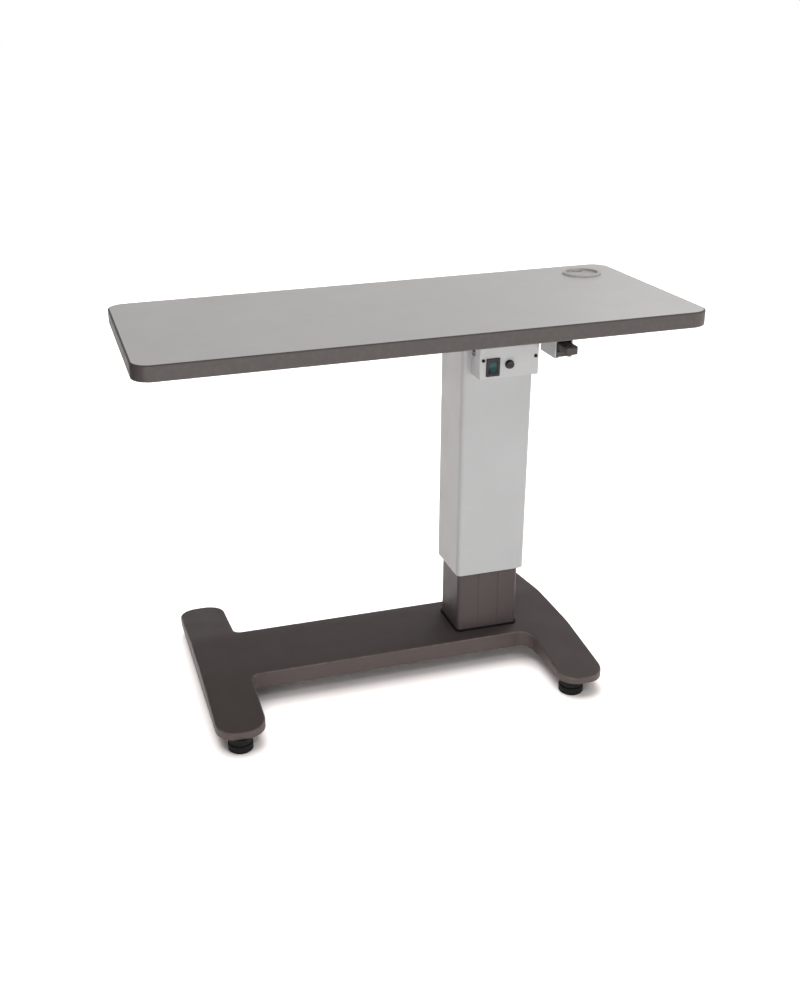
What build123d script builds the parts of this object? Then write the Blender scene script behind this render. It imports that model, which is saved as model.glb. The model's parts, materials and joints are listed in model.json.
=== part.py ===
from build123d import *
import math
import os

# Motorised instrument table for an eye examination unit. Millimetres, +Z up, +X to the column side.
# The origin is on the floor, below the middle of the table top.

# ---- driving dimensions ----
TOP_WIDTH = 906.0
TOP_DEPTH = 375.0
TOP_THICK = 25.0
TOP_CORNER = 30.0
LOW_HEIGHT = 650.0  # top surface above the floor with the lift fully down
LIFT_TRAVEL = 200.0
LAMINATE = 0.8
EDGE_BAND = 3.0
EDGE_ROUND = 2.5

COLUMN_X = 154.0
OUTER_WIDTH = 125.5
OUTER_DEPTH = 103.0
OUTER_CORNER = 8.0
OUTER_WALL = 2.0
OUTER_BOTTOM = 172.0
REAR_COVER_DEPTH = 31.0
REAR_OPENING = 72.0  # width of the service opening behind the rear cover

INNER_WIDTH = 112.5
INNER_DEPTH = 85.0
INNER_CORNER = 8.0
INNER_WALL = 2.5
INNER_TOP = 500.0

FOOT_HEIGHT = 25.0
FOOT_DIAMETER = 41.5
FOOT_TRAVEL = 6.0
BASE_THICK = 31.0
BASE_SKIN = 6.0
BEAM_Y = (-73.0, 77.0)
LEFT_BAR_X = -330.0
LEFT_BAR_WIDTH = 83.0
LEFT_BAR_Y = (-212.0, 222.0)
LEFT_WEB_FILLET = 14.0
RIGHT_BAR_X = 264.5
RIGHT_BAR_WIDTH = 80.0
RIGHT_BAR_Y = (-222.0, 222.0)
RIGHT_WEB_FILLET = 24.0
ARM_SLOPE = 0.125  # fall of the arms' tops towards their ends
SLOPE_START = 62.0
SLOPE_BLEND = 250.0  # radius where the flat top turns into the slope
TOP_ROUND = 3.0  # radius of the base's top edge
BAR_CORNER = 34.0
FOOT_X = (-334.0, 249.5)
FOOT_Y = 196.0

GROMMET_X = 381.0
GROMMET_Y = 120.0
GROMMET_HOLE = 60.0
GROMMET_FLANGE = 67.0
GROMMET_BORE = 55.0

PLATE = 5.0  # head plate thickness
SHEET = 1.5  # folded sheet of the switch panel and the lever bracket
RUN = 0.05  # radial clearance of a running or sliding fit

GEAR_MODULE = 0.8
GEAR_TEETH = 60
PINION_TEETH = 15
GEAR_BACKLASH = 0.2

# ---- levels and places worked out from them ----
TOP_UNDER = LOW_HEIGHT - TOP_THICK
PLATE_UNDER = TOP_UNDER - PLATE
BASE_BOTTOM = FOOT_HEIGHT
BASE_TOP = BASE_BOTTOM + BASE_THICK
GASKET = 2.5
TUBE_BOTTOM = BASE_TOP + GASKET
OUTER_FRONT = -OUTER_DEPTH / 2
SEAM_Y = OUTER_DEPTH / 2 - REAR_COVER_DEPTH
PANEL_FRONT = -88.7
SPINDLE_X = COLUMN_X - 12.0
MOTOR_X = SPINDLE_X + GEAR_MODULE * (GEAR_TEETH + PINION_TEETH) / 2
GEARBOX_BOTTOM = 506.0
GEARBOX_SPLIT = 536.0
GEARBOX_TOP = 544.0
UPPER_PIN_Z = 588.0
LOWER_PIN_Z = 96.0
PIN_DIAMETER = 8.0
EYE_THICK = 14.0


# ---- small shared shapes ----
def block(x, y, z):
    """Box from three (low, high) pairs."""
    size = [pair[1] - pair[0] for pair in (x, y, z)]
    middle = [(pair[0] + pair[1]) / 2 for pair in (x, y, z)]
    return Pos(*middle) * Box(*size)


def facing_block(x, z, half_width, half_height, y):
    """Box seen from the front as a rectangle centred at x, z, from y[0] to y[1]."""
    return block((x - half_width, x + half_width), y, (z - half_height, z + half_height))


def rounded_prism(width, depth, corner, z, x=0.0, y=0.0):
    """Upright prism on a rounded rectangle centred at x, y, from z[0] to z[1]."""
    return Pos(x, y, z[0]) * extrude(RectangleRounded(width, depth, corner), z[1] - z[0])


def rod(radius, z, x=0.0, y=0.0):
    """Upright cylinder from z[0] to z[1]."""
    return Pos(x, y, (z[0] + z[1]) / 2) * Cylinder(radius, z[1] - z[0])


def rod_y(radius, y, x, z):
    """Cylinder along Y, from y[0] to y[1]."""
    return Pos(x, (y[0] + y[1]) / 2, z) * Rot(90, 0, 0) * Cylinder(radius, y[1] - y[0])


def rod_x(radius, x, y, z):
    """Cylinder along X, from x[0] to x[1]."""
    return Pos((x[0] + x[1]) / 2, y, z) * Rot(0, 90, 0) * Cylinder(radius, x[1] - x[0])


def hexagon(across_flats, z, x, y):
    """Upright hexagonal prism."""
    outline = RegularPolygon(across_flats / 2, 6, major_radius=False)
    return Pos(x, y, z[0]) * extrude(outline, z[1] - z[0])


def mirrored_places(half_x, half_y, x=0.0, y=0.0):
    """Four points placed symmetrically about x, y."""
    return [(x + sx * half_x, y + sy * half_y) for sx in (-1, 1) for sy in (-1, 1)]


def group(shapes):
    """Separate solids kept together in one node."""
    return Compound(children=[solid for shape in shapes for solid in shape.solids()])


# ---- table top ----
PLATE_WIDTH = 200.0
PLATE_DEPTH = 176.0
WOOD_SCREWS = mirrored_places(88, 76, COLUMN_X) + [
    (COLUMN_X + sx * 88, y) for sx in (-1, 1) for y in (-26.0, 26.0)
]
WOOD_SCREW_RADIUS = 2.5
LEVER_X = (207.1, 236.2)
LEVER_Y = (-147.0, -93.7)
LEVER_SCREWS = [(sum(LEVER_X) / 2, y) for y in (-101.0, -139.0)]


def top_board(z, hole):
    """Board inside the edge band, with a round hole for the grommet."""
    size = (TOP_WIDTH - 2 * EDGE_BAND, TOP_DEPTH - 2 * EDGE_BAND, TOP_CORNER - EDGE_BAND)
    return rounded_prism(*size, z) - rod(hole / 2, z, GROMMET_X, GROMMET_Y)


def table_top_core():
    z = (TOP_UNDER + LAMINATE, LOW_HEIGHT - LAMINATE)
    core = top_board(z, GROMMET_HOLE)
    for x, y in WOOD_SCREWS + LEVER_SCREWS:
        core -= rod(WOOD_SCREW_RADIUS + RUN, (TOP_UNDER, TOP_UNDER + 17), x, y)
    return core


def top_laminate():
    """Top sheet, cut out round the grommet's flange, which seats on the core."""
    return top_board((LOW_HEIGHT - LAMINATE, LOW_HEIGHT), GROMMET_FLANGE + 4 * RUN)


def backing_laminate():
    z = (TOP_UNDER, TOP_UNDER + LAMINATE)
    sheet = top_board(z, GROMMET_HOLE)
    for x, y in WOOD_SCREWS + LEVER_SCREWS:
        sheet -= rod(WOOD_SCREW_RADIUS + RUN, z, x, y)
    return sheet


def edge_band():
    z = (TOP_UNDER, LOW_HEIGHT)
    band = rounded_prism(TOP_WIDTH, TOP_DEPTH, TOP_CORNER, z)
    rims = band.faces().sort_by(Axis.Z)
    band = fillet(rims[0].edges() + rims[-1].edges(), EDGE_ROUND)
    inner = (TOP_WIDTH - 2 * EDGE_BAND, TOP_DEPTH - 2 * EDGE_BAND, TOP_CORNER - EDGE_BAND)
    return band - rounded_prism(*inner, z)


GROMMET_RIM = 3.5  # how far the flange stands above the table top
CAP_THICK = 3.0
LEDGE_RADIUS = 25.0
GROMMET_BOTTOM = LOW_HEIGHT - 20


def grommet_sleeve():
    x, y = GROMMET_X, GROMMET_Y
    seat = LOW_HEIGHT - LAMINATE
    body = rod(GROMMET_HOLE / 2 - 4 * RUN, (GROMMET_BOTTOM, seat), x, y)
    flange = rod(GROMMET_FLANGE / 2, (seat, LOW_HEIGHT + GROMMET_RIM), x, y)
    flange = fillet(flange.edges().sort_by(Axis.Z)[-1], 1.6)
    ledge_top = LOW_HEIGHT - CAP_THICK
    sleeve = body + flange
    sleeve -= rod(GROMMET_BORE / 2, (ledge_top, LOW_HEIGHT + GROMMET_RIM), x, y)
    sleeve -= rod(LEDGE_RADIUS, (ledge_top - 1.5, ledge_top), x, y)
    return sleeve - rod(GROMMET_BORE / 2, (GROMMET_BOTTOM, ledge_top - 1.5), x, y)


def grommet_cap():
    x, y = GROMMET_X, GROMMET_Y
    z = (LOW_HEIGHT - CAP_THICK, LOW_HEIGHT)
    cap = rod(GROMMET_BORE / 2 - 2 * RUN, z, x, y)
    cap = chamfer(cap.edges().sort_by(Axis.Z)[-1], 0.5)
    notch = block((x - 9, x + 9), (y + 13, y + GROMMET_BORE), z)
    return cap - fillet(notch.edges().filter_by(Axis.Z), 4)


# ---- head plate, between the table top and the column ----
CLEVIS_BOLTS = mirrored_places(15, 12, SPINDLE_X)
CLEVIS_PLATE = 5.0
FLANGE = 16.0  # width of the column's turned-in top flange
TOP_BOLT_X = OUTER_WIDTH / 2 - 11.75
TOP_BOLTS = [(COLUMN_X + sx * TOP_BOLT_X, y) for sx in (-1, 1) for y in (-34.0, 6.0)]
TOP_BOLTS += [(COLUMN_X + sx * 22, -42.0) for sx in (-1, 1)]
FLANGE_THICK = 3.0
BOLT_HOLE = 3.3


def head_plate():
    z = (PLATE_UNDER, TOP_UNDER)
    plate = rounded_prism(PLATE_WIDTH, PLATE_DEPTH, 12, z, COLUMN_X)
    for x, y in WOOD_SCREWS:
        plate -= rod(2.8, z, x, y)
    for x, y in TOP_BOLTS + CLEVIS_BOLTS:
        plate -= rod(3 + RUN, z, x, y)
    return plate


def wood_screw(x, y, seat):
    """Pan-head screw driven upwards, its head under the surface at seat."""
    head = rod(4.6, (seat - 2.8, seat), x, y)
    head = fillet(head.edges().sort_by(Axis.Z)[0], 1.2)
    head -= block((x - 2.4, x + 2.4), (y - 0.5, y + 0.5), (seat - 2.8, seat - 1.2))
    head -= block((x - 0.5, x + 0.5), (y - 2.4, y + 2.4), (seat - 2.8, seat - 1.2))
    shank = rod(WOOD_SCREW_RADIUS, (seat, TOP_UNDER + 15), x, y)
    tip = Pos(x, y, TOP_UNDER + 15.95) * Cone(WOOD_SCREW_RADIUS, 0.6, 1.9)
    return head + shank + tip


def head_plate_screws():
    return group([wood_screw(x, y, PLATE_UNDER) for x, y in WOOD_SCREWS])


# ---- telescopic column, outer part ----
def outer_ring(inset, wall):
    """Hollow rounded rectangle, set in from the column's outside by inset."""
    size = (OUTER_WIDTH - 2 * inset, OUTER_DEPTH - 2 * inset)
    ring = RectangleRounded(*size, OUTER_CORNER - inset)
    inner = inset + wall
    size = (OUTER_WIDTH - 2 * inner, OUTER_DEPTH - 2 * inner)
    return ring - RectangleRounded(*size, OUTER_CORNER - inner)


def column_skin():
    """Outer skin of the column with its mouth rounded, before it is split into two covers."""
    z = (OUTER_BOTTOM, PLATE_UNDER)
    solid = rounded_prism(OUTER_WIDTH, OUTER_DEPTH, OUTER_CORNER, z, COLUMN_X)
    solid = fillet(solid.faces().sort_by(Axis.Z)[0].edges(), 1.6)
    inner = (OUTER_WIDTH - 2 * OUTER_WALL, OUTER_DEPTH - 2 * OUTER_WALL, OUTER_CORNER - OUTER_WALL)
    return solid - rounded_prism(*inner, z, COLUMN_X)


def far_block(y, z):
    """Block across the whole column and beyond, for splitting it."""
    return block((COLUMN_X - OUTER_WIDTH, COLUMN_X + OUTER_WIDTH), y, z)


LIP_BOTTOM = OUTER_BOTTOM + 6
COVER_SCREWS = [(COLUMN_X + sx * 42.5, z) for sx in (-1, 1) for z in (200.0, 396.0, 592.0)]


def column_front_shell():
    z = (OUTER_BOTTOM, PLATE_UNDER)
    shell = column_skin() & far_block((-OUTER_DEPTH, SEAM_Y), z)
    lip = outer_ring(OUTER_WALL, OUTER_WALL)
    lip = lip & Pos(0, SEAM_Y - 8 + OUTER_DEPTH / 2, 0) * Rectangle(OUTER_WIDTH, OUTER_DEPTH)
    lip -= Pos(0, OUTER_DEPTH / 2, 0) * Rectangle(REAR_OPENING, 30)
    shell += Pos(COLUMN_X, 0, LIP_BOTTOM) * extrude(lip, PLATE_UNDER - LIP_BOTTOM)
    top = (PLATE_UNDER - FLANGE_THICK, PLATE_UNDER)
    flange = rounded_prism(OUTER_WIDTH - 1, OUTER_DEPTH - 1, OUTER_CORNER, top, COLUMN_X)
    opening = (OUTER_WIDTH - 2 * FLANGE - 4, OUTER_DEPTH - 2 * FLANGE - 4, 4)
    flange -= rounded_prism(*opening, top, COLUMN_X)
    flange &= far_block((-OUTER_DEPTH, SEAM_Y), top)
    shell += flange
    for x, y in TOP_BOLTS:
        shell -= rod(BOLT_HOLE, top, x, y)
    rear = (OUTER_DEPTH / 2 - 2 * OUTER_WALL - 1, OUTER_DEPTH / 2)
    for x, height in COVER_SCREWS:
        shell -= rod_y(2 + RUN, rear, x, height)
    return shell


INLET_Z = 575.0
INLET_CUT = (27.6, 20.6)
VENT_SLOTS = 6


def column_rear_cover():
    z = (OUTER_BOTTOM, PLATE_UNDER - FLANGE_THICK)
    cover = column_skin() & far_block((SEAM_Y + 0.3, OUTER_DEPTH), z)
    rear = (OUTER_DEPTH / 2 - OUTER_WALL - 1, OUTER_DEPTH / 2 + 1)
    for x, height in COVER_SCREWS:
        cover -= rod_y(2.2, rear, x, height)
    half_w, half_h = INLET_CUT[0] / 2, INLET_CUT[1] / 2
    cover -= facing_block(COLUMN_X, INLET_Z, half_w, half_h, rear)
    for i in range(VENT_SLOTS):
        low = 500.0 + 8 * i
        slot = block((COLUMN_X - 16, COLUMN_X + 16), rear, (low, low + 3))
        cover -= fillet(slot.edges().filter_by(Axis.Y), 1.4)
    return cover


def cover_screw(x, z):
    """Button-head screw that holds the rear cover."""
    back = OUTER_DEPTH / 2
    head = rod_y(3.8, (back, back + 2.2), x, z)
    head = fillet(head.edges().sort_by(Axis.Y)[-1], 1.4)
    socket = Pos(x, back + 2.2, z) * Rot(90, 0, 0) * extrude(RegularPolygon(1.25, 6), 1.4)
    shank = rod_y(2.0, (back - 2 * OUTER_WALL, back), x, z)
    return (head - socket) + shank


def column_cover_screws():
    return group([cover_screw(x, z) for x, z in COVER_SCREWS])


def head_plate_bolts():
    """Hexagon screws from below: six hold the column, four hold the upper clevis."""
    seats = [(place, PLATE_UNDER - FLANGE_THICK) for place in TOP_BOLTS]
    seats += [(place, PLATE_UNDER - CLEVIS_PLATE) for place in CLEVIS_BOLTS]
    return group([hexagon(10, (z - 4, z), x, y) + rod(3, (z, z + 8), x, y) for (x, y), z in seats])


def lower_glide_frame():
    """Plastic frame in the mouth of the outer column, running on the inner column."""
    low, high = OUTER_BOTTOM + 3, OUTER_BOTTOM + 34
    inside = (OUTER_WIDTH - 2 * OUTER_WALL, OUTER_DEPTH - 2 * OUTER_WALL)
    frame = rounded_prism(*inside, OUTER_CORNER - OUTER_WALL, (low, high), COLUMN_X)
    bore = (INNER_WIDTH + 4 * RUN, INNER_DEPTH + 4 * RUN, INNER_CORNER)
    frame -= rounded_prism(*bore, (low, high), COLUMN_X)
    frame -= column_front_shell()
    for x, height in COVER_SCREWS:
        frame -= rod_y(2 + RUN, (INNER_DEPTH / 2, OUTER_DEPTH / 2), x, height)
    return frame.solids().sort_by(SortBy.VOLUME)[-1]


# ---- telescopic column, inner part ----
GROOVE_X = (-INNER_WIDTH / 6, INNER_WIDTH / 6)
UPPER_PAD_Z = (462.0, 494.0)
PAD_STUD = 4.0
COLUMN_BOLTS = mirrored_places(32, 26, COLUMN_X)
BOLT_RADIUS = 4.0
FOOT_PLATE = 10.0


def glide_pads():
    """Outline of each upper pad as (x pair, y pair, direction that its stud points in)."""
    side_gap = (OUTER_WIDTH - INNER_WIDTH) / 2 - OUTER_WALL - 2 * RUN
    front_gap = (OUTER_DEPTH - INNER_DEPTH) / 2 - OUTER_WALL - 2 * RUN
    rear_gap = front_gap - OUTER_WALL
    half_w, half_d = INNER_WIDTH / 2, INNER_DEPTH / 2
    pads = []
    for sx in (-1, 1):
        side = sorted((COLUMN_X + sx * half_w, COLUMN_X + sx * (half_w + side_gap)))
        pads.append((side, (-34.0, 8.0), "x", sx))
        near = sorted((COLUMN_X + sx * 14, COLUMN_X + sx * 44))
        pads.append((near, (-half_d - front_gap, -half_d), "y", -1))
        far = sorted((COLUMN_X + sx * 38, COLUMN_X + sx * 46))
        pads.append((far, (half_d, half_d + rear_gap), "y", 1))
    return pads


def pad_stud(pad, radius):
    """Stud from the middle of a pad in through the inner column's wall."""
    x, y, along, sign = pad
    z = (UPPER_PAD_Z[0] + UPPER_PAD_Z[1]) / 2
    if along == "x":
        face = COLUMN_X + sign * INNER_WIDTH / 2
        reach = sorted((face, face - sign * (INNER_WALL + 1)))
        return rod_x(radius, reach, (y[0] + y[1]) / 2, z)
    face = sign * INNER_DEPTH / 2
    reach = sorted((face, face - sign * (INNER_WALL + 1)))
    return rod_y(radius, reach, (x[0] + x[1]) / 2, z)


def upper_glide_pads():
    return group([block(p[0], p[1], UPPER_PAD_Z) + pad_stud(p, PAD_STUD) for p in glide_pads()])


def inner_column():
    z = (TUBE_BOTTOM, INNER_TOP)
    tube = rounded_prism(INNER_WIDTH, INNER_DEPTH, INNER_CORNER, z, COLUMN_X)
    inside = (INNER_WIDTH - 2 * INNER_WALL, INNER_DEPTH - 2 * INNER_WALL)
    tube -= rounded_prism(*inside, INNER_CORNER - INNER_WALL, z, COLUMN_X)
    for offset in GROOVE_X:
        for side in (-INNER_DEPTH / 2, INNER_DEPTH / 2):
            x = COLUMN_X + offset
            tube -= block((x - 0.7, x + 0.7), (side - 0.6, side + 0.6), z)
    for pad in glide_pads():
        tube -= pad_stud(pad, PAD_STUD + RUN)
    return tube


def column_foot_plate():
    """Plate welded into the foot of the inner column, tapped for the column bolts."""
    z = (TUBE_BOTTOM, TUBE_BOTTOM + FOOT_PLATE)
    inside = (INNER_WIDTH - 2 * INNER_WALL, INNER_DEPTH - 2 * INNER_WALL)
    plate = rounded_prism(*inside, INNER_CORNER - INNER_WALL, z, COLUMN_X)
    for x, y in COLUMN_BOLTS:
        plate -= rod(BOLT_RADIUS + RUN, z, x, y)
    return plate


def column_gasket():
    z = (BASE_TOP, TUBE_BOTTOM)
    gasket = rounded_prism(INNER_WIDTH + 6, INNER_DEPTH + 6, INNER_CORNER + 2, z, COLUMN_X)
    for x, y in COLUMN_BOLTS:
        gasket -= rod(BOLT_RADIUS + 1, z, x, y)
    return gasket


COLUMN_PAD = 12.0  # thickness of the base under the column


def column_bolts():
    seat = BASE_TOP - COLUMN_PAD
    bolts = []
    for x, y in COLUMN_BOLTS:
        bolt = hexagon(13, (seat - 6.9, seat - 1.6), x, y)
        bolt += rod(8, (seat - 1.6, seat), x, y)
        bolt += rod(BOLT_RADIUS, (seat, TUBE_BOTTOM + FOOT_PLATE), x, y)
        bolts.append(bolt)
    return group(bolts)


# ---- base ----
def crossbar_outline(x, width, y, inset):
    """Straight bar from y[0] to y[1] with slightly bowed ends and rounded corners."""
    length = y[1] - y[0] - 2 * inset
    bar = Rectangle(width - 2 * inset, length) & Circle(length / 2)
    return Pos(x, (y[0] + y[1]) / 2, 0) * fillet(bar.vertices(), BAR_CORNER - inset)


def base_outline(inset):
    """Outline of the H-shaped base, set in by inset."""
    left = crossbar_outline(LEFT_BAR_X, LEFT_BAR_WIDTH, LEFT_BAR_Y, inset)
    right = crossbar_outline(RIGHT_BAR_X, RIGHT_BAR_WIDTH, RIGHT_BAR_Y, inset)
    sides = (BEAM_Y[0] + inset, BEAM_Y[1] - inset)
    centre = ((LEFT_BAR_X + RIGHT_BAR_X) / 2, sum(sides) / 2)
    outline = left + right + Pos(*centre) * Rectangle(RIGHT_BAR_X - LEFT_BAR_X, sides[1] - sides[0])
    for bar_x, radius in ((LEFT_BAR_X, LEFT_WEB_FILLET), (RIGHT_BAR_X, RIGHT_WEB_FILLET)):
        near_bar = [v for v in outline.vertices() if abs(v.X - bar_x) < LEFT_BAR_WIDTH]
        corners = [v for v in near_bar if min(abs(v.Y - side) for side in sides) < 0.01]
        outline = fillet(corners, radius + inset)
    return outline


def base_solid(inset, bottom, drop):
    """Body of the base with its arms thinning towards the feet; drop lowers its top."""
    body = Pos(0, 0, bottom) * extrude(base_outline(inset), BASE_TOP - bottom)
    top = BASE_TOP - drop
    end = RIGHT_BAR_Y[1] + 1
    low = top - (end - SLOPE_START) * ARM_SLOPE
    sides = [(end, 0), (end, low), (SLOPE_START, top), (-SLOPE_START, top), (-end, low), (-end, 0)]
    profile = Polygon(*sides, align=None)
    profile = fillet(profile.vertices().sort_by(Axis.Y)[-2:], SLOPE_BLEND)
    return body & extrude(Plane.YZ * profile, TOP_WIDTH, both=True)


BOSS_RADIUS = 13.0
STUD_RADIUS = 5.0
STUD_DEPTH = FOOT_TRAVEL + 5.5
RIB = 5.0
CROSS_RIBS_X = (-187.0, -37.0)


def top_rim(body):
    """The edges between the faces that look up and the side walls."""
    up = [face for face in body.faces() if face.normal_at(face.center()).Z > 0.5]
    edges = [edge for face in up for edge in face.edges()]
    return [edge for edge in edges if sum(edge.is_same(other) for other in edges) == 1]


def base_ribs():
    """Stiffening ribs in the hollow underside."""
    z = (BASE_BOTTOM + 4, BASE_TOP)
    middle = sum(BEAM_Y) / 2
    length = (LEFT_BAR_X - LEFT_BAR_WIDTH / 2, RIGHT_BAR_X + RIGHT_BAR_WIDTH / 2)
    ribs = [block(length, (middle - RIB / 2, middle + RIB / 2), z)]
    for x in CROSS_RIBS_X:
        ribs.append(block((x - RIB / 2, x + RIB / 2), BEAM_Y, z))
    return ribs


def base_casting():
    """Cast H-shaped base, hollow and ribbed below, with bosses for the column and the feet."""
    body = base_solid(0, BASE_BOTTOM, 0)
    body = fillet(top_rim(body), TOP_ROUND)
    hollow = base_solid(BASE_SKIN, BASE_BOTTOM, BASE_SKIN)
    keep = base_ribs()
    pad = (INNER_WIDTH + 14, INNER_DEPTH + 14, 12)
    keep.append(rounded_prism(*pad, (BASE_TOP - COLUMN_PAD, BASE_TOP), COLUMN_X))
    for x in FOOT_X:
        for y in (-FOOT_Y, FOOT_Y):
            keep.append(rod(BOSS_RADIUS, (BASE_BOTTOM, BASE_TOP), x, y))
    for shape in keep:
        hollow -= shape
    body -= hollow
    for x, y in COLUMN_BOLTS:
        body -= rod(BOLT_RADIUS + 0.5, (BASE_BOTTOM, BASE_TOP), x, y)
    for x in FOOT_X:
        for y in (-FOOT_Y, FOOT_Y):
            body -= rod(STUD_RADIUS + RUN, (BASE_BOTTOM, BASE_BOTTOM + STUD_DEPTH), x, y)
    return body


# ---- levelling feet ----
PAD_HEIGHT = 13.0
COLLAR_GAP = 0.6
SOCKET_DEPTH = 7.0


def foot_pad(x, y):
    """Round pad with a socket for the end of its stud."""
    pad = rod(FOOT_DIAMETER / 2, (0, PAD_HEIGHT), x, y)
    pad = fillet(pad.edges().sort_by(Axis.Z)[-1], 2.0)
    pad = chamfer(pad.edges().sort_by(Axis.Z)[0], 1.2)
    return pad - rod(STUD_RADIUS - 1 + RUN, (PAD_HEIGHT - SOCKET_DEPTH, PAD_HEIGHT), x, y)


def foot_stud(x, y):
    """Threaded stud with a ribbed hand collar that ends under the base."""
    collar_z = (PAD_HEIGHT + COLLAR_GAP, BASE_BOTTOM)
    collar = rod(FOOT_DIAMETER / 2 - 1.2, collar_z, x, y)
    collar = chamfer(collar.edges().sort_by(Axis.Z)[0], 0.8)
    grips = 24
    for i in range(grips):
        angle = 2 * math.pi * i / grips
        reach = FOOT_DIAMETER / 2 - 0.6
        collar -= rod(1.1, collar_z, x + reach * math.cos(angle), y + reach * math.sin(angle))
    stud = rod(STUD_RADIUS, (collar_z[0], BASE_BOTTOM + STUD_DEPTH - 0.5), x, y)
    tail = rod(STUD_RADIUS - 1, (PAD_HEIGHT - SOCKET_DEPTH, collar_z[1]), x, y)
    return collar + stud + tail


# ---- lift actuator inside the column ----
TUBE_OUT = 18.0
TUBE_IN = 16.0
PUSH_OUT = 14.0
PUSH_IN = 11.0
SPINDLE_RADIUS = 8.0
JOURNAL_RADIUS = 6.0
ACTUATOR_BOTTOM = 150.0
PUSH_TOP = 490.0
NUT_BOTTOM = 465.0
SPINDLE_BOTTOM = NUT_BOTTOM - LIFT_TRAVEL - 15
EAR = 4.0
EAR_INSIDE = EYE_THICK / 2 + 0.2
BEARING_Z = (508.0, 516.0)
BEARING_OUT = 14.0
GEAR_Z = (520.0, 529.0)
MOTOR_RADIUS = 21.0
MOTOR_TOP = 606.0


def clevis_eye(z_pin, z_far, radius):
    """Flat-sided eye on the spindle axis with a round end about its pin."""
    half = EYE_THICK / 2
    low, high = sorted((z_pin, z_far))
    eye = block((SPINDLE_X - radius, SPINDLE_X + radius), (-half, half), (low, high))
    eye += rod_y(radius, (-half, half), SPINDLE_X, z_pin)
    return eye - rod_y(PIN_DIAMETER / 2 + RUN, (-half, half), SPINDLE_X, z_pin)


def clevis(z_plate, z_pin, direction):
    """U bracket: a base plate at z_plate and two ears that reach its pin."""
    z = sorted((z_plate, z_plate + direction * CLEVIS_PLATE))
    bracket = block((SPINDLE_X - 20, SPINDLE_X + 20), (-19, 19), z)
    for side in (-1, 1):
        y = sorted((side * EAR_INSIDE, side * (EAR_INSIDE + EAR)))
        reach = sorted((z_plate, z_pin))
        bracket += block((SPINDLE_X - 8, SPINDLE_X + 8), y, reach)
        bracket += rod_y(8, y, SPINDLE_X, z_pin)
    outside = EAR_INSIDE + EAR
    return bracket - rod_y(PIN_DIAMETER / 2 + RUN, (-outside, outside), SPINDLE_X, z_pin)


def clevis_pin(z):
    """Headed pin through a clevis and its eye."""
    reach = EAR_INSIDE + EAR
    pin = rod_y(PIN_DIAMETER / 2, (-reach - 1, reach + 3), SPINDLE_X, z)
    return pin + rod_y(PIN_DIAMETER / 2 + 1.5, (-reach - 2.5, -reach), SPINDLE_X, z)


def lower_clevis():
    """Clevis welded on the plate in the column's foot."""
    return clevis(TUBE_BOTTOM + FOOT_PLATE, LOWER_PIN_Z, 1)


def upper_clevis():
    """Clevis bolted under the head plate."""
    bracket = clevis(PLATE_UNDER, UPPER_PIN_Z, -1)
    for x, y in CLEVIS_BOLTS:
        bracket -= rod(BOLT_HOLE, (PLATE_UNDER - CLEVIS_PLATE, PLATE_UNDER), x, y)
    return bracket


def push_tube():
    """Inner tube of the actuator, with the eye that stands on the lower pin."""
    tube = rod(PUSH_OUT, (112, PUSH_TOP), SPINDLE_X)
    tube -= rod(PUSH_IN, (120, PUSH_TOP), SPINDLE_X)
    tube -= rod(PUSH_IN + 1.5, (NUT_BOTTOM, PUSH_TOP), SPINDLE_X)
    return tube + clevis_eye(LOWER_PIN_Z, 112, 10)


def spindle_nut():
    nut = rod(PUSH_IN + 1.5, (NUT_BOTTOM, PUSH_TOP), SPINDLE_X)
    nut += rod(TUBE_IN - 2 * RUN, (PUSH_TOP, PUSH_TOP + 8), SPINDLE_X)
    return nut - rod(SPINDLE_RADIUS + RUN, (NUT_BOTTOM, PUSH_TOP + 8), SPINDLE_X)


def actuator_tube():
    tube = rod(TUBE_OUT, (ACTUATOR_BOTTOM, GEARBOX_BOTTOM), SPINDLE_X)
    return tube - rod(TUBE_IN, (ACTUATOR_BOTTOM, GEARBOX_BOTTOM), SPINDLE_X)


def tube_guide_bush():
    z = (ACTUATOR_BOTTOM, ACTUATOR_BOTTOM + 24)
    bush = rod(TUBE_IN, z, SPINDLE_X)
    bush += rod(TUBE_OUT, (ACTUATOR_BOTTOM - 3, ACTUATOR_BOTTOM), SPINDLE_X)
    return bush - rod(PUSH_OUT + RUN, (ACTUATOR_BOTTOM - 3, z[1]), SPINDLE_X)


def gearbox_outline(margin):
    """Outline round both gears, as a belt round two circles."""
    gear = GEAR_MODULE * GEAR_TEETH / 2 + 2 + margin
    left = Pos(SPINDLE_X, 0, 0) * Circle(gear)
    right = Pos(MOTOR_X, 0, 0) * Circle(MOTOR_RADIUS + margin - 4)
    return make_hull((left + right).edges())


def gearbox_housing():
    wall = 3.5
    body = Pos(0, 0, GEARBOX_BOTTOM) * extrude(gearbox_outline(wall), GEARBOX_SPLIT - GEARBOX_BOTTOM)
    cavity = Pos(0, 0, BEARING_Z[1] + 1) * extrude(gearbox_outline(0), 40)
    body -= cavity
    body -= rod(BEARING_OUT, BEARING_Z, SPINDLE_X)
    body -= rod(BEARING_OUT - 2, (GEARBOX_BOTTOM, BEARING_Z[1] + 1), SPINDLE_X)
    return body - rod(2.5 + RUN, (BEARING_Z[1] - 3, BEARING_Z[1] + 1), MOTOR_X)


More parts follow.
